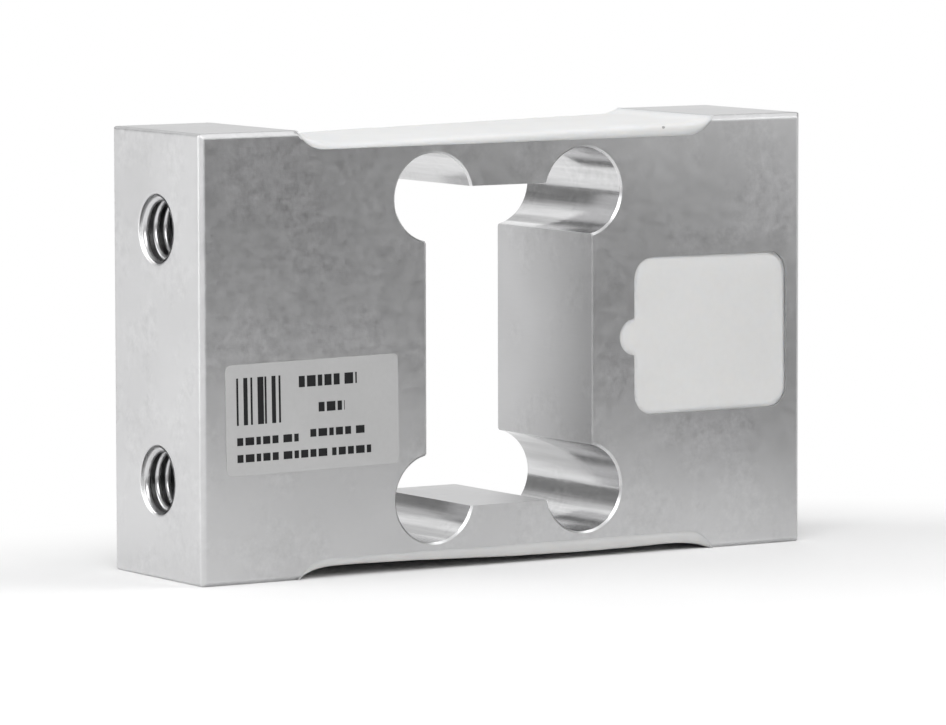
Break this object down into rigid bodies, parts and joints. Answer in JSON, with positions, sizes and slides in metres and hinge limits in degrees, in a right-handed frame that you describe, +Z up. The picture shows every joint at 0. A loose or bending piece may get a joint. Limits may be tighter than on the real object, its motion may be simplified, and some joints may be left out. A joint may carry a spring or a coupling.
{
  "type": "single point load cell",
  "caption": "Aluminium block weighing sensor with a dog-bone window, potted gauge recesses, a potted pocket and threaded holes in both ends.",
  "frame": {"origin": "middle of the underside, midway between the ends and between the faces", "axes": "+X along the beam from the label end to the pocket end, +Y through the thickness from the pocket face to the plain face, +Z up"},
  "size_m": [0.064, 0.0161, 0.04],
  "materials": {
    "beam": "fine milled, matt",
    "silicone": "satin cast silicone",
    "label_film": "silver grey film",
    "strip": "glass laminate",
    "board": "solder mask",
    "copper": "plated copper",
    "foil": "etched constantan foil",
    "carrier": "polyimide film",
    "solder": "bright solder",
    "insulation": "fluoropolymer insulation",
    "resistor": "moulded"
  },
  "bodies": {
    "root": {"beam_body": "beam", "board_pads": "copper", "board_solder": "solder", "bottom_potting": "silicone", "bridge_wires_bottom": "insulation", "bridge_wires_top": "insulation", "compensation_board": "board", "gauge_carrier_bottom_left": "carrier", "gauge_carrier_bottom_right": "carrier", "gauge_carrier_top_left": "carrier", "gauge_carrier_top_right": "carrier", "gauge_foil_bottom_left": "foil", "gauge_foil_bottom_right": "foil", "gauge_foil_top_left": "foil", "gauge_foil_top_right": "foil", "gauge_leads_bottom": "copper", "gauge_leads_top": "copper", "gauge_solder_bottom": "solder", "gauge_solder_top": "solder", "nickel_resistor": "resistor", "pocket_potting": "silicone", "rating_label": "label_film", "span_resistor": "resistor", "strip_pads_bottom": "copper", "strip_pads_top": "copper", "terminal_strip_bottom": "strip", "terminal_strip_top": "strip", "top_potting": "silicone", "zero_resistor": "resistor"}
  },
  "joints": []
}
